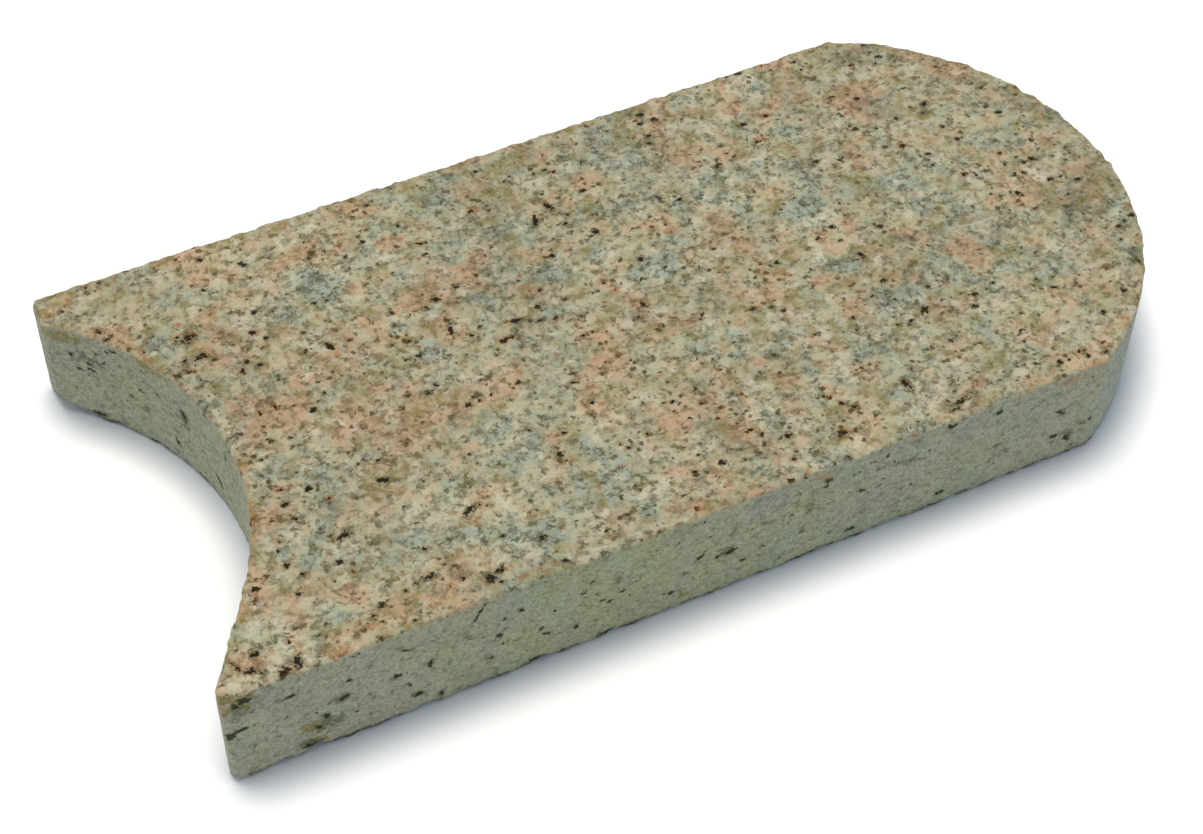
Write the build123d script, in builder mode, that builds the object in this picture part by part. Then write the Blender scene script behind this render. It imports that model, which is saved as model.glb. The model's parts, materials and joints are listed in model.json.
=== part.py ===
from build123d import *
from math import acos, asin, atan2, cos, degrees, hypot, radians, sin, sqrt
import os

# Sizes of the stone in millimetres. It lies flat with its nose towards +X.
stone_width = 125.0  # between the two straight long sides
stone_thickness = 29.5
laying_length = 228.4  # from one laid stone's nose to the next one's
nose_rise = 40.2  # how far the round nose stands past its corners
near_corner_reach = 1.3  # the near corner lies this much further along than the far one
seat_clearance = 0.8  # joint between a nose and the notch it lies in
horn_tip_width = 8.7  # the notch's horns are cut off blunt
cut_horn_tip_width = 3.3  # the near horn, whose inner side is cut off straight

# Corners and edges.
nose_corner_radius = 3.0  # where the nose's arc meets the far straight side
near_nose_corner_radius = 1.2
horn_outer_radius = 2.4
horn_inner_radius = 2.0
cut_horn_outer_radius = 1.0
cut_horn_inner_radius = 3.5
top_arris_radius = 0.6
lower_arris_bevel = 0.5

# Chips along the lower arris: share of the way along it, length and depth.
near_side_chips = [
    (0.046, 9.0, 0.9),
    (0.078, 5.5, 1.8),
    (0.158, 8.0, 0.6),
    (0.198, 7.0, 0.8),
    (0.262, 8.0, 0.8),
    (0.332, 7.0, 1.3),
    (0.413, 5.0, 1.1),
    (0.473, 8.0, 0.7),
    (0.573, 9.0, 0.6),
    (0.663, 5.0, 1.0),
    (0.758, 4.5, 1.2),
    (0.829, 6.0, 0.7),
    (0.890, 6.0, 0.8),
    (0.945, 8.0, 0.7),
]
far_side_chips = [
    (0.10, 8.0, 0.8),
    (0.24, 5.0, 1.2),
    (0.37, 7.0, 0.7),
    (0.55, 6.0, 1.3),
    (0.71, 8.0, 0.8),
    (0.88, 5.0, 1.1),
]
nose_chips = [
    (0.07, 6.0, 0.9),
    (0.24, 7.0, 0.8),
    (0.41, 5.0, 1.2),
    (0.63, 8.0, 0.7),
    (0.80, 5.5, 1.1),
    (0.94, 6.0, 0.8),
]
notch_chips = [
    (0.16, 6.0, 0.8),
    (0.38, 7.0, 0.9),
    (0.585, 6.0, 0.7),
    (0.70, 6.0, 0.8),
    (0.86, 7.0, 0.8),
    (0.925, 4.0, 1.1),
]
corner_chip_length = 5.5
corner_chip_depth = 1.5
horn_break_length = 25.0  # hollow left where the far horn's inner foot corner broke off
horn_break_depth = 3.4
flake_length = 16.0  # hollow left by the flake off the near horn's outer top corner
flake_depth = 2.4

# The nose and the notch have one centre line, and the notch is the nose plus the joint.
half_width = stone_width / 2
nose_radius = (half_width**2 + nose_rise**2) / (2 * nose_rise)
notch_radius = nose_radius + seat_clearance
horn_inner_y = half_width - horn_tip_width
cut_horn_inner_y = half_width - cut_horn_tip_width
horn_reach = notch_radius - sqrt(notch_radius**2 - horn_inner_y**2)
overall_length = laying_length - seat_clearance + horn_reach
nose_tip_x = overall_length / 2
horn_tip_x = -overall_length / 2
nose_corner_x = nose_tip_x - nose_rise
near_nose_corner_x = nose_corner_x + near_corner_reach
nose_centre_x = nose_tip_x - nose_radius
notch_bottom_x = horn_tip_x + horn_reach
notch_centre_x = notch_bottom_x - notch_radius
nose_half_turn = degrees(asin(half_width / nose_radius))
notch_half_turn = degrees(asin(horn_inner_y / notch_radius))

# The near horn's straight cut leaves the notch's arc without a corner.
cut_end_turn = degrees(atan2(cut_horn_inner_y, horn_tip_x - notch_centre_x))
cut_end_distance = hypot(cut_horn_inner_y, horn_tip_x - notch_centre_x)
cut_start_turn = cut_end_turn - degrees(acos(notch_radius / cut_end_distance))
cut_start_x = notch_centre_x + notch_radius * cos(radians(cut_start_turn))
cut_start_y = notch_radius * sin(radians(cut_start_turn))

print("overall", round(overall_length, 2), stone_width, stone_thickness)
print("nose radius", round(nose_radius, 2), "notch radius", round(notch_radius, 2))
print("notch bottom at x", round(notch_bottom_x, 2))
print("nose corners at x", round(nose_corner_x, 2), round(near_nose_corner_x, 2))


def facing(heading, pitch):
    # unit vector towards a heading of the plan, tilted up by the pitch
    level = cos(radians(pitch))
    return Vector(level * cos(radians(heading)), level * sin(radians(heading)), sin(radians(pitch)))


def upright_at(x, y):
    # the upright edge of the stone nearest to a point of its plan
    return edging_stone.edges().filter_by(Axis.Z).sort_by_distance((x, y, stone_thickness / 2))[0]


# Every hollow broken out of the stone: its place, the way it faces, its length and depth.
side_start_x = horn_tip_x + horn_outer_radius
side_length = nose_corner_x - side_start_x
hollows = []
for share, length, depth in near_side_chips:
    place = Vector(side_start_x + side_length * share, -half_width, 0)
    hollows.append((place, facing(-90, -45), length, depth))
for share, length, depth in far_side_chips:
    place = Vector(side_start_x + side_length * share, half_width, 0)
    hollows.append((place, facing(90, -45), length, depth))
for share, length, depth in nose_chips:
    turn = nose_half_turn * (2 * share - 1)
    place = Vector(nose_centre_x, 0, 0) + facing(turn, 0) * nose_radius
    hollows.append((place, facing(turn, -45), length, depth))
for share, length, depth in notch_chips:
    turn = notch_half_turn * (2 * share - 1)
    place = Vector(notch_centre_x, 0, 0) + facing(turn, 0) * notch_radius
    hollows.append((place, facing(turn + 180, -45), length, depth))
near_foot = Vector(horn_tip_x, -half_width, 0)
far_foot = Vector(horn_tip_x, horn_inner_y, 0)
near_top = Vector(horn_tip_x, -half_width, stone_thickness)
hollows.append((near_foot, facing(-135, -35), corner_chip_length, corner_chip_depth))
hollows.append((far_foot, facing(206, -34), horn_break_length, horn_break_depth))
hollows.append((near_top, facing(-111, 16), flake_length, flake_depth))

with BuildPart() as edging_stone:
    # Plan of the stone: straight sides, round nose, and the notch that takes the next nose.
    with BuildSketch():
        with BuildLine():
            near_side = Line((horn_tip_x, -half_width), (near_nose_corner_x, -half_width))
            nose = ThreePointArc(near_side @ 1, (nose_tip_x, 0), (nose_corner_x, half_width))
            far_side = Line(nose @ 1, (horn_tip_x, half_width))
            far_horn = Line(far_side @ 1, (horn_tip_x, horn_inner_y))
            notch = ThreePointArc(far_horn @ 1, (notch_bottom_x, 0), (cut_start_x, -cut_start_y))
            horn_cut = Line(notch @ 1, (horn_tip_x, -cut_horn_inner_y))
            Line(horn_cut @ 1, near_side @ 0)
        make_face()
    extrude(amount=stone_thickness)

    # Upright corners of the nose and the horns.
    fillet(upright_at(near_nose_corner_x, -half_width), near_nose_corner_radius)
    fillet(upright_at(nose_corner_x, half_width), nose_corner_radius)
    fillet(upright_at(horn_tip_x, half_width), horn_outer_radius)
    fillet(upright_at(horn_tip_x, horn_inner_y), horn_inner_radius)
    fillet(upright_at(horn_tip_x, -half_width), cut_horn_outer_radius)
    fillet(upright_at(horn_tip_x, -cut_horn_inner_y), cut_horn_inner_radius)

    # The top's edge is worn round, the sawn lower edge is only just taken off.
    fillet(edging_stone.faces().sort_by(Axis.Z)[-1].edges(), top_arris_radius)
    chamfer(edging_stone.faces().sort_by(Axis.Z)[0].edges(), lower_arris_bevel)

    # Chips and the flake, each a shell-shaped hollow with its rim on the stone's faces.
    for place, outward, length, depth in hollows:
        ball = (length**2 / 4 + depth**2) / (2 * depth)
        with Locations(place + outward * (ball - depth)):
            Sphere(ball, mode=Mode.SUBTRACT)

edging_stone.part.label = "edging_stone"
os.makedirs("parts", exist_ok=True)
export_step(edging_stone.part, "parts/edging_stone.step")
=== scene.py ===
import bpy
import json
import math
import numpy as np
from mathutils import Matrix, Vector
from mathutils.kdtree import KDTree

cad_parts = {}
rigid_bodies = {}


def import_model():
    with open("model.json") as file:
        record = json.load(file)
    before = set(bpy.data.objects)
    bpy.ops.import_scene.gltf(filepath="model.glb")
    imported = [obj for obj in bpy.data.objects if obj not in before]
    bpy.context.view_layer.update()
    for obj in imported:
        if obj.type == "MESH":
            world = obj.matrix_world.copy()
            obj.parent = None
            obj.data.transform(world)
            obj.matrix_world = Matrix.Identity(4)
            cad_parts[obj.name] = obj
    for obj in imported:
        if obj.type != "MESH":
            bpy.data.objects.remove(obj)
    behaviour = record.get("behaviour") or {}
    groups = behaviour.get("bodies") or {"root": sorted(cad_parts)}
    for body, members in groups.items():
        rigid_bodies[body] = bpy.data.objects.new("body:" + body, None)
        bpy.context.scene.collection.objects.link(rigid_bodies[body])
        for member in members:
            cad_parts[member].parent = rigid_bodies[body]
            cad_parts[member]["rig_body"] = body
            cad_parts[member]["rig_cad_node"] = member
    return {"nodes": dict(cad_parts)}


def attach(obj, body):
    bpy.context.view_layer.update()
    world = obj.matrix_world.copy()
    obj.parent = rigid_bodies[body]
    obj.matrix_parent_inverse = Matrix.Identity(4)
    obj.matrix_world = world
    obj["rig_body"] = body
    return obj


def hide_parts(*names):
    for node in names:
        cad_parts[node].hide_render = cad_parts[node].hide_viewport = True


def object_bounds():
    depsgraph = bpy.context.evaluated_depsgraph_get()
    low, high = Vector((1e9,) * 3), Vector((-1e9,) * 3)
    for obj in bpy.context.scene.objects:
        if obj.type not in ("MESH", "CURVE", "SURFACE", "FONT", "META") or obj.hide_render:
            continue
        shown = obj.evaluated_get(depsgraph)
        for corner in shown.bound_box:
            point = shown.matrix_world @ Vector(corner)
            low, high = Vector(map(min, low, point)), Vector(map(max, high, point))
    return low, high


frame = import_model()
cadLow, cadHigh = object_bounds()
print("frame loaded, stone", [round(v * 1000, 1) for v in cadHigh - cadLow], "mm")


# camera and light

view = {
    "place": (-0.18489, -0.34265, 0.43604),
    "turn": (41.0667, -0.6641, -26.3785),  # degrees
    "lens": 72.512,  # on a 36 mm wide frame
}

studio = {
    "floorSize": 6.0,
    "floorColour": (0.92, 0.92, 0.92, 1),
    "seenFloorColour": (1.16, 1.16, 1.16, 1),  # only for the camera, so that the paper reads white
    "footShadowColour": (0.76, 0.79, 0.83, 1),  # painted shadow: the paper's colour right under the stone's edge
    "footShadowReach": 0.014,
    "footShadowFade": (0.5, 0.95),  # how open the paper is where the painted shadow at the foot is full, and where it ends
    "sunStrength": 1.76,
    "sunAngle": 30,  # a soft box overhead, in degrees
    "sunTurn": (12, 0, 190),
    "sunColour": (1.07, 1.0, 0.93),
    "skyColour": (0.90, 0.99, 1.10, 1),
    "skyStrength": 0.45,
}


def addCamera():
    bpy.ops.object.camera_add(location=view["place"], rotation=[math.radians(a) for a in view["turn"]])
    camera = bpy.context.object
    camera.name = "camera"
    camera.data.lens = view["lens"]
    camera.data.sensor_width = 36
    camera.data.clip_start = 0.01
    bpy.context.scene.camera = camera


def addStudio():
    bpy.context.scene.view_settings.view_transform = "Standard"
    bpy.ops.mesh.primitive_plane_add(size=studio["floorSize"], location=(0, 0, 0))
    floor = bpy.context.object
    floor.name = "paper_floor"
    paper = bpy.data.materials.new("paper")
    paper.use_nodes = True
    tree = paper.node_tree
    tree.nodes.clear()
    path = tree.nodes.new("ShaderNodeLightPath")
    plain = tree.nodes.new("ShaderNodeBsdfDiffuse")
    plain.inputs["Color"].default_value = studio["floorColour"]
    bright = tree.nodes.new("ShaderNodeBsdfDiffuse")
    # painted shadow: for the camera, the paper is darkened where the stone closes it in
    closeBy = tree.nodes.new("ShaderNodeAmbientOcclusion")
    closeBy.inputs["Distance"].default_value = studio["footShadowReach"]
    openness = tree.nodes.new("ShaderNodeMapRange")
    openness.interpolation_type = "SMOOTHSTEP"
    fadeStart, fadeEnd = studio["footShadowFade"]
    openness.inputs["From Min"].default_value = fadeStart
    openness.inputs["From Max"].default_value = fadeEnd
    tree.links.new(closeBy.outputs["AO"], openness.inputs["Value"])
    paperShadowTone = tree.nodes.new("ShaderNodeMix")
    paperShadowTone.data_type = "RGBA"
    paperShadowTone.inputs[6].default_value = studio["footShadowColour"]
    paperShadowTone.inputs[7].default_value = studio["seenFloorColour"]
    tree.links.new(openness.outputs[0], paperShadowTone.inputs["Factor"])
    tree.links.new(paperShadowTone.outputs[2], bright.inputs["Color"])
    both = tree.nodes.new("ShaderNodeMixShader")
    tree.links.new(path.outputs["Is Camera Ray"], both.inputs["Fac"])
    tree.links.new(plain.outputs[0], both.inputs[1])
    tree.links.new(bright.outputs[0], both.inputs[2])
    output = tree.nodes.new("ShaderNodeOutputMaterial")
    tree.links.new(both.outputs[0], output.inputs["Surface"])
    floor.data.materials.append(paper)

    bpy.ops.object.light_add(type="SUN", rotation=[math.radians(a) for a in studio["sunTurn"]])
    softBox = bpy.context.object
    softBox.name = "soft_box"
    softBox.data.energy = studio["sunStrength"]
    softBox.data.angle = math.radians(studio["sunAngle"])
    softBox.data.color = studio["sunColour"]

    # the world lights the stone a little bluish and is white where the camera sees it
    world = bpy.data.worlds.new("studio")
    world.use_nodes = True
    bpy.context.scene.world = world
    tree = world.node_tree
    tree.nodes.clear()
    path = tree.nodes.new("ShaderNodeLightPath")
    seen = tree.nodes.new("ShaderNodeMath")
    seen.operation = "MAXIMUM"
    tree.links.new(path.outputs["Is Camera Ray"], seen.inputs[0])
    tree.links.new(path.outputs["Is Glossy Ray"], seen.inputs[1])
    alsoThrough = tree.nodes.new("ShaderNodeMath")
    alsoThrough.operation = "MAXIMUM"
    tree.links.new(seen.outputs[0], alsoThrough.inputs[0])
    tree.links.new(path.outputs["Is Transmission Ray"], alsoThrough.inputs[1])
    sky = tree.nodes.new("ShaderNodeBackground")
    sky.inputs["Color"].default_value = studio["skyColour"]
    sky.inputs["Strength"].default_value = studio["skyStrength"]
    paperWhite = tree.nodes.new("ShaderNodeBackground")
    paperWhite.inputs["Color"].default_value = (1, 1, 1, 1)
    both = tree.nodes.new("ShaderNodeMixShader")
    tree.links.new(alsoThrough.outputs[0], both.inputs["Fac"])
    tree.links.new(sky.outputs[0], both.inputs[1])
    tree.links.new(paperWhite.outputs[0], both.inputs[2])
    output = tree.nodes.new("ShaderNodeOutputWorld")
    tree.links.new(both.outputs[0], output.inputs["Surface"])


addCamera()
addStudio()
print("camera and studio are set")


# the stone's shape

stoneShape = {
    # all lengths here are in metres
    "merge": 0.000002,  # the node's loose triangles are joined where they meet
    "skin": 0.00066,  # side of the skin's small squares
    "triangles": 196000,
    "flamedBand": (0.0016, 0.0004),  # how deep under the top the flame reached, and where it is full
    "rimBand": (0.0020, 0.0007),
    "footBand": (0.0004, 0.0030),  # above the underside: the foot's crumbling fades out from here to there
    "sawnBand": (0.0022, 0.0035),  # and the sawn sides' waver fades in
    "edgeTurn": (0.2, 0.6),  # how far outwards a point faces where the top's edge starts and is full
    "footTurn": (0.25, 0.6),
    "spareUnder": 1.0,  # how readily triangles are given up: on the underside,
    "spareFine": 0.0,  # on the top and the near side, which carry the finest marks,
    "spareNotch": 0.2,  # on the notch's wall
    "spareRest": 0.5,  # and elsewhere
    "underReach": 0.0003,  # the underside lies no higher than this
    "nearReach": 0.0004,  # and the near side no further in
    "notchEnd": -0.09,  # along the stone, the notch lies beyond this
    "weightSteps": 20,  # enough for a soft edge
    "flamedPits": (0.0046, 0.00042),  # size and depth of the flamed top's shallow spalls
    "flamedGrain": (0.0017, 0.00036),  # its coarse grain
    "flamedSwell": (0.013, 0.00040),  # its slow unevenness
    "rimCrumble": (0.0034, 0.00100),  # little bites out of the top's edge
    "sawnWaver": (0.0030, 0.00012),  # the sawn sides are nearly flat
    "footWaver": (0.0028, 0.00100),  # how the lower edge crumbles
}


def copyNode(nodeName, pieceName):
    bpy.ops.object.select_all(action="DESELECT")
    node = frame["nodes"][nodeName]
    node.select_set(True)
    bpy.context.view_layer.objects.active = node
    bpy.ops.object.duplicate()
    piece = bpy.context.object
    bpy.ops.object.parent_clear(type="CLEAR_KEEP_TRANSFORM")
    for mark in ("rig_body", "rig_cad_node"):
        if mark in piece:
            del piece[mark]
    piece.name = pieceName
    piece.data.name = pieceName
    piece.data.materials.clear()
    bpy.ops.object.mode_set(mode="EDIT")
    bpy.ops.mesh.select_all(action="SELECT")
    bpy.ops.mesh.remove_doubles(threshold=stoneShape["merge"])
    bpy.ops.mesh.normals_make_consistent(inside=False)
    bpy.ops.object.mode_set(mode="OBJECT")
    return piece


def meshArrays(piece):
    mesh = piece.data
    place = np.zeros(len(mesh.vertices) * 3, np.float32)
    mesh.vertices.foreach_get("co", place)
    facing = np.zeros(len(mesh.vertices) * 3, np.float32)
    mesh.vertices.foreach_get("normal", facing)
    return place.reshape(-1, 3), facing.reshape(-1, 3)


def weightGroup(piece, name, weights):
    group = piece.vertex_groups.new(name=name)
    count = stoneShape["weightSteps"]
    steps = np.round(np.clip(weights, 0, 1) * count).astype(int)
    for step in range(1, count + 1):
        chosen = np.nonzero(steps == step)[0]
        if len(chosen):
            group.add(chosen.tolist(), step / count, "REPLACE")


def roughen(piece, name, groupName, size, depth, pattern="CLOUDS", middle=0.5, turns=2):
    texture = bpy.data.textures.new(name, pattern)
    texture.noise_scale = size
    if pattern == "CLOUDS":
        texture.noise_depth = turns
    else:
        texture.noise_intensity = 1.0
    push = piece.modifiers.new(name, "DISPLACE")
    push.texture = texture
    push.texture_coords = "LOCAL"
    push.vertex_group = groupName
    push.strength = depth
    push.mid_level = middle
    bpy.ops.object.modifier_apply(modifier=push.name)


def smoothStep(low, high, value):
    t = np.clip((value - low) / (high - low), 0, 1)
    return t * t * (3 - 2 * t)


def underTop(band, height):
    # from a depth under the top up to a lesser one
    return smoothStep(cadHigh.z - band[0], cadHigh.z - band[1], height)


def overFoot(band, height):
    return smoothStep(cadLow.z + band[0], cadLow.z + band[1], height)


def shapeStone():
    stone = copyNode("edging_stone", "granite_stone")
    skin = stone.modifiers.new("skin", "REMESH")
    skin.mode = "VOXEL"
    skin.voxel_size = stoneShape["skin"]
    bpy.ops.object.modifier_apply(modifier=skin.name)

    place, facing = meshArrays(stone)
    height = place[:, 2]
    outward = np.hypot(facing[:, 0], facing[:, 1])
    flamed = underTop(stoneShape["flamedBand"], height)
    sawn = overFoot(stoneShape["sawnBand"], height) * (1 - flamed)
    foot = (1 - overFoot(stoneShape["footBand"], height)) * smoothStep(*stoneShape["footTurn"], outward)
    rim = underTop(stoneShape["rimBand"], height) * smoothStep(*stoneShape["edgeTurn"], outward)
    isUnder = (height < cadLow.z + stoneShape["underReach"]) & (facing[:, 2] < -0.95)
    isFine = (flamed > 0.5) | (place[:, 1] < cadLow.y + stoneShape["nearReach"])
    isNotch = (place[:, 0] < stoneShape["notchEnd"]) & (facing[:, 0] < -0.3)
    sparing = [stoneShape[name] for name in ("spareUnder", "spareFine", "spareNotch")]
    spare = np.select([isUnder, isFine, isNotch], sparing, stoneShape["spareRest"])
    groups = (("flamed", flamed), ("sawn", sawn), ("foot", foot), ("rim", rim), ("spare", spare))
    for name, weights in groups:
        weightGroup(stone, name, weights)

    roughen(stone, "flamedSwell", "flamed", *stoneShape["flamedSwell"])
    roughen(stone, "flamedPits", "flamed", *stoneShape["flamedPits"], pattern="VORONOI", middle=0.45)
    roughen(stone, "flamedGrain", "flamed", *stoneShape["flamedGrain"], turns=3)
    roughen(stone, "rimCrumble", "rim", *stoneShape["rimCrumble"], middle=0.60, turns=3)
    roughen(stone, "sawnWaver", "sawn", *stoneShape["sawnWaver"])
    roughen(stone, "footWaver", "foot", *stoneShape["footWaver"], middle=0.62, turns=3)

    faces = sum(len(p.vertices) - 2 for p in stone.data.polygons)
    thin = stone.modifiers.new("thin", "DECIMATE")
    thin.ratio = min(1.0, stoneShape["triangles"] / faces)
    thin.vertex_group = "spare"
    thin.use_collapse_triangulate = True
    bpy.ops.object.modifier_apply(modifier=thin.name)
    stone.vertex_groups.clear()
    bpy.ops.object.shade_smooth()
    print("stone skin", faces, "triangles, thinned to", len(stone.data.polygons))
    return stone


# single marks that anyone would know this stone by, in millimetres: place, length, width, turn in degrees
topMarks = {
    "black": [
        (-60.5, -38.8, 4.2, 1.6, 25),
        (-88.0, -33.5, 3.4, 1.5, 20),
        (-120.5, -55.5, 1.3, 2.6, 20),
        (-118.6, -57.6, 2.8, 1.3, -15),
        (-64.0, -57.8, 2.0, 2.2, 0),
        (-61.3, -56.6, 3.0, 1.2, 10),
        (-74.0, -23.0, 3.0, 1.4, -25),
        (-42.6, 11.4, 1.4, 3.2, -15),
        (-4.8, 38.2, 1.2, 4.4, 12),
        (-9.9, 35.2, 1.3, 3.2, -20),
        (-69.6, 18.2, 1.1, 4.2, 12),
        (-97.5, 35.2, 3.4, 2.4, 20),
        (-100.1, 36.2, 1.4, 1.6, 0),
        (-98.2, 28.2, 2.6, 1.3, 10),
        (-96.2, 28.4, 1.2, 2.0, 0),
        (-103.8, 25.2, 1.4, 1.3, 0),
        (-90.3, 20.2, 1.6, 1.3, 0),
        (-115.3, 46.0, 1.3, 1.5, 0),
        (-124.0, 55.6, 0.9, 1.0, 0),
        (-121.3, 55.6, 1.3, 1.5, 0),
        (-28.4, 7.6, 4.0, 1.3, -10),
        (-19.3, 4.2, 1.6, 1.5, 0),
        (-32.5, 3.2, 3.6, 1.2, 5),
        (-37.8, 40.3, 2.2, 1.2, -30),
        (-22.3, 45.0, 2.4, 1.1, 35),
        (0.8, -0.8, 2.2, 2.0, 40),
        (4.2, 31.0, 1.4, 2.4, 0),
        (20.3, 29.2, 1.4, 1.2, 0),
        (51.6, 37.2, 2.0, 1.4, 10),
        (58.6, -30.6, 1.7, 1.6, 0),
        (94.2, 2.0, 0.7, 6.0, 12),
        (109.4, 2.0, 1.6, 1.5, 0),
        (115.4, -27.2, 1.7, 1.2, 20),
        (104.2, -45.2, 1.1, 1.8, 0),
        (5.0, -45.4, 2.4, 1.0, -8),
        (51.0, -58.6, 6.5, 1.1, 27),
        (84.6, -57.4, 1.8, 1.4, 0),
        (-49.8, -52.6, 2.2, 1.8, 30),
        (-75.5, -51.5, 3.0, 1.3, 15),
        (-108.6, -59.6, 1.5, 4.4, -20),
        (-112.0, -61.2, 2.4, 1.5, 10),
        (-104.0, -20.6, 2.6, 2.8, 0),
        (-91.2, 6.6, 1.4, 1.3, 0),
        (-87.2, 6.8, 1.3, 1.3, 0),
        (11.6, -9.4, 1.1, 1.8, -30),
        (43.0, -48.4, 1.5, 2.6, 10),
        (22.6, -54.6, 2.8, 2.0, -35),
        (61.0, 24.0, 2.2, 1.0, 20),
    ],
    "salmon": [
        (-91.5, -48.8, 8.5, 8.0, 0),
        (-89.5, 5.0, 17.0, 12.0, -20),
        (-36.0, 25.0, 17.0, 10.0, -35),
        (-86.0, 51.0, 14.0, 6.0, -10),
        (-17.0, -13.0, 7.0, 8.0, 60),
        (15.5, -28.0, 7.0, 4.5, 10),
        (43.5, -23.0, 9.0, 3.4, 40),
        (57.0, -55.0, 13.0, 3.6, 22),
        (-44.0, 43.5, 8.0, 6.0, 10),
        (78.5, -19.0, 9.0, 11.0, 10),
        (110.0, 38.0, 9.0, 6.0, -40),
        (-118.0, -56.0, 6.5, 6.0, 0),
    ],
    "grey": [
        (-65.5, 35.0, 10.0, 7.0, -15),
        (-54.0, -50.5, 15.0, 9.0, -12),
        (55.5, -24.5, 12.0, 11.0, 20),
        (47.5, -8.5, 12.0, 7.0, -25),
        (-44.0, 18.5, 6.0, 4.5, 0),
        (-49.5, 8.0, 6.5, 6.0, 0),
        (-47.0, -20.0, 8.0, 9.0, 0),
        (16.0, 57.0, 10.0, 6.0, 0),
        (8.0, 9.0, 14.0, 8.0, 10),
        (-110.0, -55.0, 4.0, 9.0, 10),
        (50.0, 12.0, 12.0, 9.0, 0),
        (-96.0, -36.0, 9.0, 5.0, 30),
    ],
    "ochre": [
        (-62.0, -42.0, 6.0, 2.6, 10),
        (-76.0, -58.5, 7.0, 3.0, 5),
        (-57.5, -60.2, 8.0, 2.2, 5),
        (-100.5, -61.0, 7.0, 2.0, 0),
        (-104.0, -18.0, 4.0, 7.0, 0),
        (59.5, -7.8, 3.4, 3.2, 0),
        (-33.0, -45.5, 3.0, 3.0, 0),
        (-122.0, 57.5, 9.0, 5.0, 0),
        (-110.0, 37.5, 4.0, 3.4, -30),
        (29.0, 51.8, 3.6, 2.2, 0),
    ],
}

# on the near long side: along, up, length, width, turn
sideMarks = {
    "black": [
        (-69.3, 25.9, 6.4, 0.9, 61),
        (-124.0, 17.6, 5.4, 1.1, 6),
        (-125.6, 16.6, 2.8, 2.0, 10),
        (-121.8, 27.4, 2.2, 2.2, 0),
        (-123.6, 26.2, 1.3, 1.8, 30),
        (-120.4, 27.0, 1.5, 0.9, 0),
        (-112.1, 22.7, 2.8, 1.0, 14),
        (-99.0, 20.4, 2.2, 1.1, -18),
        (-85.9, 23.1, 3.2, 1.0, -38),
        (-100.6, 15.2, 2.6, 1.2, 8),
        (-88.4, 15.4, 2.4, 1.4, 4),
        (-80.9, 15.0, 1.0, 3.0, 4),
        (-104.9, 11.1, 1.9, 1.4, 0),
        (-106.8, 8.2, 1.1, 1.8, 20),
        (-85.8, 10.7, 0.8, 1.8, 0),
        (-84.0, 6.1, 2.8, 1.9, -10),
        (-109.4, 3.0, 2.8, 1.3, 5),
        (-107.6, 3.2, 1.4, 1.0, 0),
        (-78.8, 3.0, 1.3, 2.4, -20),
        (-64.8, 15.7, 2.2, 1.1, -30),
        (-59.6, 21.5, 1.6, 1.3, -40),
        (-54.8, 12.3, 1.2, 1.2, 0),
        (-54.0, 9.8, 2.0, 1.0, -30),
        (-46.6, 7.9, 1.1, 1.5, 0),
        (-44.9, 18.9, 1.2, 1.4, 0),
        (-56.5, 2.0, 3.4, 1.4, 0),
        (-38.7, 1.7, 3.8, 1.0, 0),
        (-23.4, 6.7, 1.5, 1.4, 0),
        (-16.6, 15.4, 3.0, 1.1, 40),
        (-8.8, 13.4, 3.2, 1.3, 5),
        (-5.5, 8.4, 1.7, 1.1, 10),
        (8.0, 24.4, 1.1, 1.1, 0),
        (15.3, 25.4, 2.0, 1.3, 0),
        (30.2, 25.9, 0.9, 1.7, 0),
        (24.6, 16.9, 1.9, 1.1, -20),
        (30.0, 18.0, 1.0, 0.9, 0),
        (22.8, 4.0, 2.6, 1.3, 0),
        (37.8, 12.1, 1.9, 0.9, -40),
        (47.0, 4.3, 1.5, 1.5, 0),
        (59.5, 26.1, 2.0, 1.4, 0),
        (77.4, 17.3, 3.2, 1.2, -30),
        (77.1, 8.9, 2.6, 1.4, -10),
        (80.9, 6.4, 1.3, 2.6, 30),
        (86.9, 10.2, 1.1, 1.6, 0),
    ],
    "dusk": [
        (-104.0, 8.5, 8.0, 6.0, -20),
        (-100.4, 15.0, 4.6, 3.0, 0),
        (-109.0, 4.0, 4.6, 4.0, 0),
        (-72.1, 19.8, 1.6, 4.0, 0),
        (-36.6, 18.9, 4.4, 4.0, 0),
        (-9.4, 14.4, 4.4, 3.0, 30),
        (-8.2, 20.4, 2.0, 3.2, 0),
        (0.3, 18.5, 4.6, 1.8, -25),
        (11.8, 17.9, 4.6, 4.0, -30),
        (9.6, 11.0, 1.6, 2.8, 20),
        (36.8, 21.4, 9.0, 3.6, -10),
        (81.6, 8.6, 5.0, 4.0, 0),
        (61.2, 13.9, 2.0, 3.4, 20),
        (33.7, 6.1, 2.4, 1.8, 0),
        (74.6, 24.6, 3.4, 1.6, 0),
        (-121.0, 23.4, 8.0, 2.6, 0),
        (-94.1, 22.3, 2.2, 2.0, 0),
        (-21.2, 23.6, 2.6, 2.0, 50),
    ],
    "ochre": [
        (-126.0, 26.4, 1.8, 7.0, 0),
        (79.6, 27.2, 11.0, 3.0, 0),
        (14.0, 27.2, 5.0, 2.4, -20),
    ],
    "moss": [
        (-122.4, 27.4, 6.5, 5.0, 0),
        (-107.8, 8.8, 5.0, 4.6, 0),
        (-108.2, 3.4, 5.6, 2.6, 0),
        (-20.2, 5.0, 3.0, 2.6, -30),
    ],
    "olive": [
        (-52.7, 5.7, 10.0, 6.0, 0),
        (-64.0, 7.6, 7.0, 6.0, 0),
        (12.0, 24.0, 10.0, 9.0, 0),
        (-3.0, 20.0, 12.0, 11.0, -30),
        (-34.0, 12.0, 92.0, 60.0, 0),
    ],
}

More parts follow.
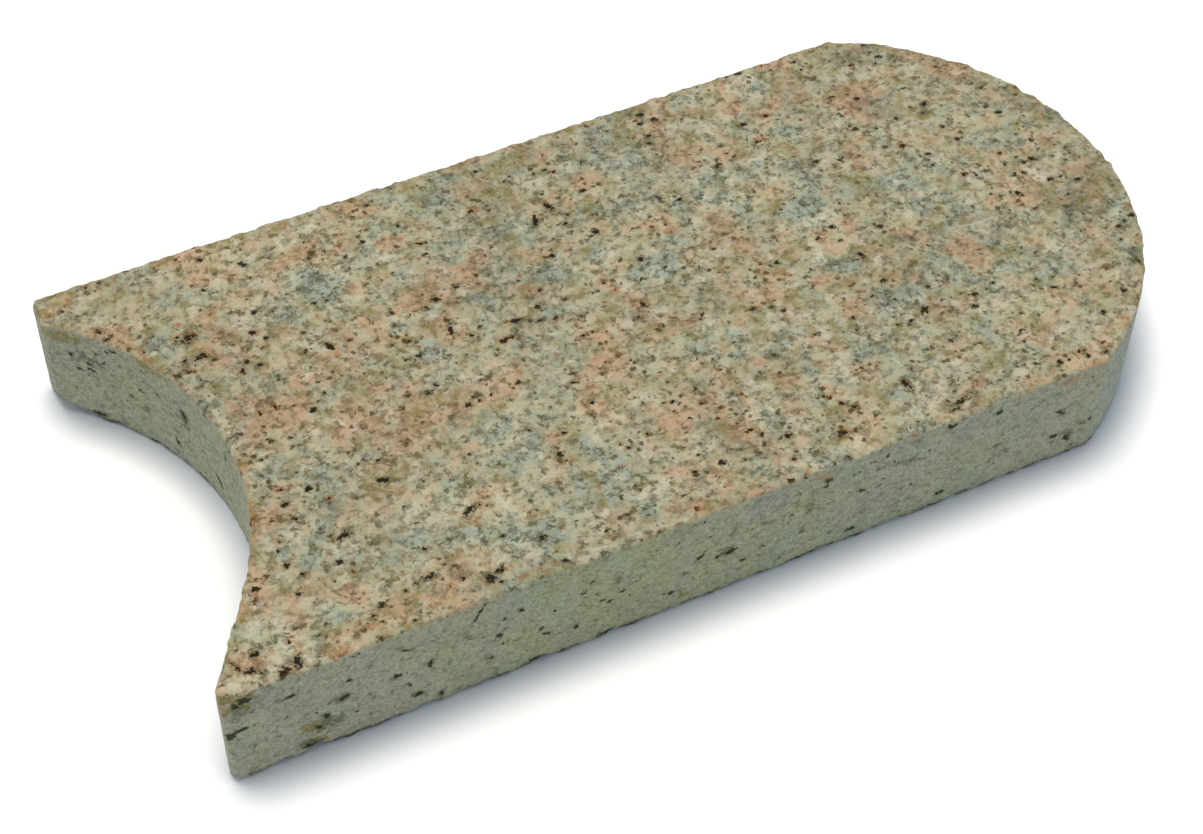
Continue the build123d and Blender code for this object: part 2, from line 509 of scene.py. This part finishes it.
# on the notch's wall: across, up, length, width, turn
notchMarks = {
    "black": [
        (49.8, 21.3, 1.4, 0.8, 0),
        (48.7, 16.9, 1.1, 0.9, 0),
        (46.5, 19.6, 0.9, 0.8, 0),
        (44.5, 24.1, 1.0, 0.8, 0),
        (43.1, 21.7, 1.2, 1.0, 0),
        (42.3, 26.0, 1.0, 0.8, 0),
        (46.6, 2.1, 3.6, 1.4, 0),
        (35.0, 17.7, 1.3, 1.0, 0),
        (22.1, 19.5, 3.4, 1.2, 69),
        (26.1, 6.9, 2.8, 1.2, 60),
        (13.1, 28.0, 1.2, 1.6, 0),
        (10.2, 7.8, 4.0, 1.1, 38),
        (3.9, 22.2, 1.0, 2.0, 0),
    ],
    "dusk": [
        (47.0, 21.0, 6.0, 4.0, 0),
        (33.8, 12.4, 2.4, 3.0, 0),
        (22.0, 18.0, 4.0, 5.0, 0),
    ],
    "moss": [
        (51.0, 27.0, 8.0, 3.4, 0),
        (31.0, 28.0, 9.0, 2.4, 0),
    ],
}

# how the skin is divided up for the finish, in millimetres where nothing else is said
skinParts = {
    "flamedBand": (0.0016, 0.0006),  # in metres under the top
    "upTurn": (0.35, 0.75),  # how far up a point faces where the flamed skin starts and is full
    "rimShare": (0.05, 0.6),  # points that are as flamed as this make up the top's edge
    "rimReach": 20.0,  # the distance to the top's edge is measured up to this
    "markReach": 3.0,  # and the distance to a mark up to this many times the mark's own size
    "wallStart": 60,  # the nose's and the notch's walls lie further out
    "notchTurn": (0.2, 0.7),  # how far along the stone such a wall faces where it starts and is full
    "noseTurn": (0.2, 0.8),
    "sideTurn": -0.3,  # the near side's points face at least so far outwards
    "level": 0.9,  # what faces more up or down than this is no wall
    "noseShadeTint": (20, 48),  # only the part of the nose towards the near corner gets the painted bluish shade
    "topDepth": 2,
    "sideDepth": 3.5,
}


def keepOnSkin(mesh, name, values):
    mesh.attributes.new(name, "FLOAT", "POINT").data.foreach_set("value", values.astype(np.float32))


def markSkin(stone):
    # what the finish has to know of the shape: how flamed a point is, and how far it is from the top's edge
    place, facing = meshArrays(stone)
    mesh = stone.data
    upward = smoothStep(*skinParts["upTurn"], facing[:, 2]) * underTop(skinParts["flamedBand"], place[:, 2])
    keepOnSkin(mesh, "flamed", upward)
    leastShare, mostShare = skinParts["rimShare"]
    rim = np.nonzero((upward > leastShare) & (upward < mostShare))[0]
    tree = KDTree(len(rim))
    for i in rim:
        tree.insert(Vector(place[i]), int(i))
    tree.balance()
    toRim = [min(tree.find(Vector(p))[2] * 1000, skinParts["rimReach"]) for p in place]
    keepOnSkin(mesh, "toRim", np.array(toRim, np.float32))

    # the walls of the notch and the nose, the nose's for its painted bluish shade
    inMm = place * 1000
    upright = (1 - upward) * (np.abs(facing[:, 2]) < skinParts["level"])
    notchWall = upright * smoothStep(*skinParts["notchTurn"], -facing[:, 0])
    notchWall = notchWall * (inMm[:, 0] < -skinParts["wallStart"])
    noseWallShade = upright * smoothStep(*skinParts["noseTurn"], facing[:, 0])
    noseWallShade = noseWallShade * (inMm[:, 0] > skinParts["wallStart"])
    noseWallShade = noseWallShade * smoothStep(*skinParts["noseShadeTint"], -inMm[:, 1])
    keepOnSkin(mesh, "notchWall", notchWall)
    keepOnSkin(mesh, "noseWallShade", noseWallShade)

    # how near each point is to a mark: 0 in the mark's middle, 1 on its outline
    onTop = inMm[:, 2] > cadHigh.z * 1000 - skinParts["topDepth"]
    onSide = inMm[:, 1] < cadLow.y * 1000 + skinParts["sideDepth"]
    onSide = onSide & (facing[:, 1] < skinParts["sideTurn"])
    marked = (
        ("top", onTop, 0, 1, topMarks),
        ("side", onSide, 0, 2, sideMarks),
        ("side", notchWall > 0, 1, 2, notchMarks),
    )
    fields = {}
    for face, chosen, along, up, marks in marked:
        for name, places in marks.items():
            far = np.full(len(place), skinParts["markReach"])
            nearest = fields.setdefault(face + name.capitalize(), far)
            for alongAt, upAt, length, width, turn in places:
                turn = math.radians(turn)
                dx, dy = inMm[:, along] - alongAt, inMm[:, up] - upAt
                u = (dx * math.cos(turn) + dy * math.sin(turn)) * 2 / length
                v = (dy * math.cos(turn) - dx * math.sin(turn)) * 2 / width
                nearest[chosen] = np.minimum(nearest, np.hypot(u, v))[chosen]
    for name, nearest in fields.items():
        keepOnSkin(mesh, name, nearest)


stone = shapeStone()
markSkin(stone)


# the granite

def card(red, green, blue):
    # a colour as read off a card, 0 to 255, made linear
    return [((c / 255 + 0.055) / 1.055) ** 2.4 for c in (red, green, blue)] + [1]


granite = {
    "colour": {
        "feldspar": card(174, 170, 140),
        "salmon": card(184, 156, 125),
        "quartz": card(153, 161, 142),
        "cream": card(192, 186, 160),
        "olive": card(92, 84, 50),
        "moss": card(143, 133, 80),
        # dark olive-brown for the crumbs and seams, and for the painted shade in the pits
        "grimeAndPitShade": card(64, 55, 18),
        "ochre": card(172, 132, 78),
        "ember": card(172, 112, 70),
        "mica": card(20, 14, 0),
        "umber": card(46, 36, 0),
        "sawn": card(164, 165, 143),
        "sawnOlive": card(164, 166, 129),
        "sawnGreen": card(158, 169, 142),
        "sawnBlue": card(158, 160, 145),
        # painted shade: the bluish tone of the nose's wall
        "noseShadeBlue": card(150, 165, 160),
        "sawnDusk": card(98, 102, 78),
        "sawnDark": card(28, 30, 20),
    },
    # how wide each pattern is, in millimetres
    "size": {
        "drift": 2.6,
        "fineDrift": 0.8,
        "grains": 3.2,
        "smallGrains": 1.05,
        "clouds": 8.5,
        "zones": 27.0,
        "slow": 34.0,
        "dust": 0.62,
        "grit": 2.4,
        "gather": 8.0,
        "smear": 3.6,
        "crumbs": 0.95,
        "seams": 2.1,
        "moss": 7.0,
        "fray": 0.9,
        "flecks": 2.6,
        "specks": 1.7,
        "rust": 6.0,
        "sawnClouds": 13.0,
        "streaks": 2.7,
        "score": 1.5,
        "broken": 3.4,
        "edge": 1.6,
    },
    # how much of what is under it each layer hides where it is strongest
    "cover": {
        "cream": 0.7,
        "grimeAndPitShade": 0.64,
        "smear": 0.42,
        "crumbs": 0.62,
        "halo": 0.60,
        "ember": 0.45,
        "specks": 0.76,
        "mica": 0.96,
        "rust": 0.62,
        "sawnQuartz": 0.5,
        "noseWallShade": 0.7,
        "sideRust": 0.5,
        "sideMoss": 0.85,
        "dusk": 0.90,
        "sawnSpecks": 0.26,
        "streaks": 0.86,
        "footCrumbShade": 0.8,
    },
    "sawSlant": (0, 24, 0),  # the saw's scores lean, in degrees
    "topRoughness": 0.82,
    "sawnRoughness": 0.86,
    "shine": 0.12,
    "reliefStrength": 0.8,
    "reliefHeight": 0.00025,  # in metres
}


board = {"tree": None, "count": 0}  # the material that is being wired


def addNode(kind, **settings):
    node = board["tree"].nodes.new(kind)
    node.location = (200 * (board["count"] // 6) - 2400, -180 * (board["count"] % 6))
    board["count"] += 1
    for name, value in settings.items():
        setattr(node, name, value)
    return node


def feed(socket, value):
    if hasattr(value, "is_linked"):
        board["tree"].links.new(value, socket)
    else:
        socket.default_value = value


def maths(operation, a, b=None):
    node = addNode("ShaderNodeMath", operation=operation)
    feed(node.inputs[0], a)
    if b is not None:
        feed(node.inputs[1], b)
    return node.outputs[0]


def plus(*values):
    total = values[0]
    for value in values[1:]:
        total = maths("ADD", total, value)
    return total


def minus(a, b):
    return maths("SUBTRACT", a, b)


def centred(value):
    # most patterns run from 0 to 1
    return minus(value, 0.5)


def times(a, b):
    return maths("MULTIPLY", a, b)


def vector(operation, a, b=None):
    node = addNode("ShaderNodeVectorMath", operation=operation)
    feed(node.inputs[0], a)
    if b is not None:
        feed(node.inputs["Scale"] if operation == "SCALE" else node.inputs[1], b)
    return node.outputs[0]


def placed(coords, move=(0, 0, 0), turn=(0, 0, 0), stretch=(1, 1, 1)):
    node = addNode("ShaderNodeMapping", vector_type="POINT")
    feed(node.inputs["Vector"], coords)
    node.inputs["Location"].default_value = move
    node.inputs["Rotation"].default_value = [math.radians(a) for a in turn]
    node.inputs["Scale"].default_value = stretch
    return node.outputs[0]


def noise(coords, size, detail=2.0, rough=0.5, output="Fac"):
    node = addNode("ShaderNodeTexNoise", noise_dimensions="3D")
    feed(node.inputs["Vector"], coords)
    node.inputs["Scale"].default_value = 1 / size
    node.inputs["Detail"].default_value = detail
    node.inputs["Roughness"].default_value = rough
    return node.outputs[output]


def voronoi(coords, size, feature):
    node = addNode("ShaderNodeTexVoronoi", voronoi_dimensions="3D", feature=feature)
    feed(node.inputs["Vector"], coords)
    node.inputs["Scale"].default_value = 1 / size
    return node.outputs


def cells(coords, size):
    # three random numbers of each cell's own, and how far a point is from the cell's middle
    outputs = voronoi(coords, size, "F1")
    return split(outputs["Color"]), outputs["Distance"]


def between(value, low, high, toLow=0.0, toHigh=1.0):
    # soft step from low to high
    node = addNode("ShaderNodeMapRange", interpolation_type="SMOOTHSTEP")
    feed(node.inputs["Value"], value)
    for name, number in zip(("From Min", "From Max", "To Min", "To Max"), (low, high, toLow, toHigh)):
        feed(node.inputs[name], number)
    return node.outputs[0]


def blend(share, first, second):
    node = addNode("ShaderNodeMix", data_type="RGBA")
    feed(node.inputs["Factor"], share)
    feed(node.inputs[6], first)
    feed(node.inputs[7], second)
    return node.outputs[2]


def lay(under, mask, colour, share):
    # lays one of the granite's colours over what is under it
    return blend(times(mask, share), under, granite["colour"][colour])


def blendNumber(share, first, second):
    node = addNode("ShaderNodeMix", data_type="FLOAT")
    feed(node.inputs[0], share)
    feed(node.inputs[2], first)
    feed(node.inputs[3], second)
    return node.outputs[0]


def split(colour):
    node = addNode("ShaderNodeSeparateColor")
    feed(node.inputs[0], colour)
    return node.outputs


def onSkin(name):
    return addNode("ShaderNodeAttribute", attribute_type="GEOMETRY", attribute_name=name).outputs["Fac"]


def nearMark(name, start, full, most):
    return between(onSkin(name), start, full, 0.0, most)


def graniteMaterial():
    material = bpy.data.materials.new("granite")
    material.use_nodes = True
    board["tree"] = material.node_tree
    surface = material.node_tree.nodes["Principled BSDF"]
    colour, size, cover = granite["colour"], granite["size"], granite["cover"]

    # everything below is in millimetres of the stone
    coords = addNode("ShaderNodeTexCoord").outputs["Object"]
    inMm = vector("SCALE", coords, 1000.0)
    along, across, height = split(inMm)[:3]

    # ragged outlines: two sizes of drift
    middle = (0.5, 0.5, 0.5)
    drift = vector("SUBTRACT", noise(inMm, size["drift"], 3, output="Color"), middle)
    fineDrift = vector("SUBTRACT", noise(inMm, size["fineDrift"], 2, output="Color"), middle)
    crisp = vector("ADD", inMm, vector("SCALE", fineDrift, 1.1))
    ragged = vector("ADD", crisp, vector("SCALE", drift, 2.2))

    # from grey quartz to salmon feldspar, in soft clouds and in single grains
    grainOwn = cells(ragged, size["grains"])[0]
    smallOwn, toSmallGrain = cells(crisp, size["smallGrains"])
    clouds = split(noise(ragged, size["clouds"], 3, 0.58, "Color"))
    zones = noise(placed(ragged, (20, -30, 0)), size["zones"], 2)
    hue = plus(times(centred(clouds[0]), 2.5), times(centred(zones), 0.9))
    hue = plus(hue, times(centred(grainOwn[0]), 0.26))
    # redder towards the notch and towards the far side
    hue = plus(hue, between(along, 0.0, -100.0, 0.0, 0.08), between(across, 25.0, 60.0, 0.0, 0.06))
    hue = plus(hue, nearMark("topSalmon", 1.4, 0.5, 0.50))
    hue = minus(hue, nearMark("topGrey", 1.4, 0.5, 0.46))
    isSalmon = between(hue, -0.10, 0.50)
    isQuartz = between(hue, 0.00, -0.46)
    body = blend(isSalmon, colour["feldspar"], colour["salmon"])
    body = blend(isQuartz, body, colour["quartz"])
    isCream = between(plus(clouds[1], times(grainOwn[1], 0.20)), 0.62, 0.76)
    body = lay(body, isCream, "cream", cover["cream"])

    # each grain and the dust between them vary in brightness, and the brightest are held back; the small
    # grains and the dust also carry painted small shadows and highlights of the flamed relief
    dust = noise(inMm, size["dust"], 2, 0.6)
    grit = noise(ragged, size["grit"], 5, 0.68)
    shade = plus(times(smallOwn[0], 0.34), times(grainOwn[2], 0.28), times(dust, 0.42))
    slow = noise(placed(inMm, (70, 0, 0)), size["slow"], 2)
    shade = plus(shade, times(clouds[2], 1.22), times(slow, 1.15), -0.56)
    tooBright = maths("MAXIMUM", minus(shade, 1.02), 0.0)
    shade = minus(shade, times(tooBright, 0.55))
    body = vector("SCALE", body, shade)
    # painted shade: the flamed top's pits, where the grit is low, are darkened toward olive-brown
    grimeAndPitShade = between(grit, 0.53, 0.30)
    body = lay(body, grimeAndPitShade, "grimeAndPitShade", cover["grimeAndPitShade"])

    # olive smears, dark crumbs, and the seams between grains
    nearRim = between(onSkin("toRim"), 5.0, 0.5)
    gather = noise(inMm, size["gather"], 2)
    smear = between(noise(placed(ragged, (31, 7, 3)), size["smear"], 4, 0.68), 0.53, 0.68)
    crumbOwn = cells(crisp, size["crumbs"])[0]
    isCrumb = between(plus(crumbOwn[0], times(smear, 0.42)), 0.84, 1.06)
    body = lay(body, smear, "olive", cover["smear"])
    body = lay(body, isCrumb, "grimeAndPitShade", cover["crumbs"])
    toSeam = voronoi(placed(crisp, (0, 40, 0)), size["seams"], "DISTANCE_TO_EDGE")["Distance"]
    isSeam = times(between(toSeam, 0.11, 0.03), between(grit, 0.60, 0.44))
    body = lay(body, isSeam, "grimeAndPitShade", plus(times(isQuartz, 0.42), 0.10))

    # moss-coloured weathering, stronger in the darker grit
    mossNoise = noise(placed(ragged, (-40, 60, 0)), size["moss"], 2, 0.6)
    moss = between(plus(mossNoise, times(nearRim, 0.06)), 0.50, 0.68)
    body = lay(body, moss, "moss", plus(0.24, times(between(grit, 0.62, 0.36), 0.48)))

    # black mica, in ragged flecks that gather in places, each in a small rusty or olive stain
    fray = centred(noise(inMm, size["fray"], 3, 0.65))
    fleckOwn, toFleck = cells(placed(crisp, (3, 11, 5), (0, 0, -30), (0.85, 1.1, 1)), size["flecks"])
    fleckReach = between(gather, 0.36, 0.68, 0.06, 0.37)
    fleckReach = times(fleckReach, between(fleckOwn[0], 0.34, 1.0, 0.15, 1.0))
    fleckDepth = plus(minus(fleckReach, toFleck), times(fray, 0.9))
    isFleck = between(fleckDepth, 0.02, 0.08)
    speckOwn, toSpeck = cells(placed(crisp, (9, 4, 8)), size["specks"])
    speckReach = between(speckOwn[1], 0.58, 1.0, 0.0, 0.42)
    speckReach = times(speckReach, between(plus(gather, times(smear, 0.14)), 0.36, 0.64, 0.35, 1.25))
    speckDepth = plus(minus(speckReach, toSpeck), times(fray, 0.6))
    isSpeck = between(speckDepth, 0.0, 0.16)

    # the single flecks that were marked, and the stains round all of them
    ownDepth = plus(times(minus(1.35, onSkin("topBlack")), 0.6), times(fray, 2.4))
    ownDepth = plus(ownDepth, times(centred(smallOwn[1]), 0.5))
    isOwn = between(ownDepth, 0.16, 0.34)
    fleckHalo = between(plus(fleckDepth, times(centred(grit), -0.8)), -0.30, 0.05)
    ownHalo = between(plus(ownDepth, times(centred(grit), -1.2)), -0.75, 0.1)
    halo = maths("MAXIMUM", fleckHalo, ownHalo)
    stain = blend(between(fleckOwn[2], 0.40, 0.75), colour["olive"], colour["ochre"])
    body = blend(times(halo, cover["halo"]), body, stain)
    ember = times(between(fleckDepth, -0.34, -0.16), between(fleckOwn[1], 0.84, 0.94))
    body = lay(body, ember, "ember", times(between(grit, 0.42, 0.56), cover["ember"]))
    body = lay(body, isSpeck, "umber", cover["specks"])
    body = lay(body, maths("MAXIMUM", isFleck, isOwn), "mica", cover["mica"])

    # rust from iron: a few spots, and more along the top's edge
    rustNoise = noise(placed(ragged, (50, 20, 0)), size["rust"], 4, 0.65)
    rust = plus(rustNoise, times(nearRim, 0.13), nearMark("topOchre", 1.6, 0.4, 0.27))
    rust = times(between(rust, 0.60, 0.76), between(grit, 0.30, 0.62, 0.9, 0.35))
    body = lay(body, rust, "ochre", cover["rust"])

    # the sawn faces: grey stone dust over the same minerals, olive or bluish in places
    onNotch = onSkin("notchWall")
    sawnClouds = split(noise(placed(inMm, (12, 0, 5)), size["sawnClouds"], 3, 0.55, "Color"))
    oliveShare = plus(between(sawnClouds[0], 0.46, 0.70, 0.0, 0.5), nearMark("sideOlive", 1.5, 0.3, 0.58))
    oliveShare = maths("MINIMUM", plus(oliveShare, times(onNotch, 0.14)), 1.0)
    sawn = blend(oliveShare, colour["sawn"], colour["sawnOlive"])
    isBluish = times(between(sawnClouds[1], 0.48, 0.70), minus(1.0, onNotch))
    sawn = blend(isBluish, sawn, colour["sawnBlue"])
    sawn = lay(sawn, isQuartz, "sawnGreen", cover["sawnQuartz"])
    # painted shade: the nose's wall, turned from the soft box, is tinted bluish as if lit by the sky alone
    sawn = lay(sawn, onSkin("noseWallShade"), "noseShadeBlue", cover["noseWallShade"])

    # their rust and moss
    sideRust = plus(nearMark("sideOchre", 1.6, 0.4, 0.5), times(centred(clouds[1]), 0.8), times(fray, 0.6))
    sawn = lay(sawn, between(sideRust, 0.16, 0.5), "ochre", cover["sideRust"])
    mossGrain = plus(0.5, times(centred(smallOwn[0]), 0.8), times(fray, 1.2))
    sideMoss = times(between(onSkin("sideMoss"), 1.9, 0.6), mossGrain)
    sawn = lay(sawn, between(sideMoss, 0.22, 0.44), "moss", cover["sideMoss"])

    # black streaks, and darker patches: marked ones, ones round the streaks, and painted shade in the saw's
    # scores and small pits
    slant = granite["sawSlant"]
    streakOwn, toStreak = cells(placed(ragged, (5, 2, 9), slant, (0.66, 1.0, 1.35)), size["streaks"])
    streakReach = between(gather, 0.36, 0.62, 0.06, 0.33)
    streakReach = times(streakReach, between(streakOwn[0], 0.45, 1.0, 0.1, 1.0))
    streakDepth = plus(minus(streakReach, toStreak), times(fray, 0.9))
    sideDepth = plus(times(minus(1.25, onSkin("sideBlack")), 0.6), times(fray, 1.7))
    isStreak = maths("MAXIMUM", between(streakDepth, 0.0, 0.12), between(sideDepth, 0.06, 0.26))
    score = noise(placed(inMm, turn=slant, stretch=(0.8, 0.9, 1.1)), size["score"], 4, 0.7)
    dusk = plus(times(minus(0.5, score), 1.7), nearMark("sideDusk", 1.9, 0.0, 0.44))
    dusk = plus(dusk, between(sideDepth, -0.6, 0.1, 0.0, 0.26), between(streakDepth, -0.2, 0.1, 0.0, 0.24))
    dusk = plus(dusk, times(minus(0.5, grit), 1.8))
    dusk = plus(dusk, between(crumbOwn[1], 0.90, 1.0, 0.0, 0.30))

    # the foot's broken edge is dark in places, as painted shade of the gap under it
    broken = noise(placed(crisp, (0, 0, 80)), size["broken"], 3, 0.6)
    footCrumbShade = times(between(plus(height, times(fray, 2.2)), 1.9, 0.8), between(broken, 0.44, 0.52))

    # brightness of the sawn faces: the fine dust and the saw's scores in it are painted relief shade, and it
    # rises towards the foot as painted light thrown up by the floor
    sawnShadeAndFloorLight = plus(times(smallOwn[1], 0.26), times(dust, 1.15), times(clouds[2], 0.20), times(score, 0.36))
    # painted light: up to 5 % brighter in the lowest 16 mm, for light from the floor
    sawnShadeAndFloorLight = plus(sawnShadeAndFloorLight, between(height, 16.0, 0.0, 0.0, 0.05))
    sawn = vector("SCALE", sawn, sawnShadeAndFloorLight)
    sawn = lay(sawn, between(dusk, 0.04, 0.70), "sawnDusk", cover["dusk"])
    sawn = lay(sawn, isSpeck, "sawnDark", cover["sawnSpecks"])
    sawn = lay(sawn, isStreak, "sawnDark", cover["streaks"])
    sawn = lay(sawn, footCrumbShade, "sawnDark", cover["footCrumbShade"])

    # where the flame reached
    edgeNoise = noise(inMm, size["edge"], 2)
    isFlamed = between(plus(onSkin("flamed"), times(centred(edgeNoise), 0.9)), 0.30, 0.58)
    feed(surface.inputs["Base Color"], blend(isFlamed, sawn, body))

    # roughness: dull dust, a little shine on quartz and mica
    topRough = minus(granite["topRoughness"], times(isQuartz, 0.12))
    topRough = minus(topRough, plus(times(isFleck, 0.06), times(smallOwn[2], 0.08)))
    feed(surface.inputs["Roughness"], blendNumber(isFlamed, granite["sawnRoughness"], topRough))
    surface.inputs["Specular IOR Level"].default_value = granite["shine"]

    # relief too fine for the mesh
    tilt = times(smallOwn[2], minus(1.0, toSmallGrain))
    topRelief = plus(times(tilt, 0.5), times(dust, 0.5), times(grimeAndPitShade, -0.5), times(isFleck, -0.4))
    sawnRelief = plus(times(score, 1.1), times(dust, 0.5), times(isStreak, -0.6))
    bump = addNode("ShaderNodeBump")
    bump.inputs["Strength"].default_value = granite["reliefStrength"]
    bump.inputs["Distance"].default_value = granite["reliefHeight"]
    feed(bump.inputs["Height"], blendNumber(isFlamed, sawnRelief, topRelief))
    feed(surface.inputs["Normal"], bump.outputs[0])
    return material


stone.data.materials.append(graniteMaterial())
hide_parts("edging_stone")
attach(stone, "root")
print("granite is on")
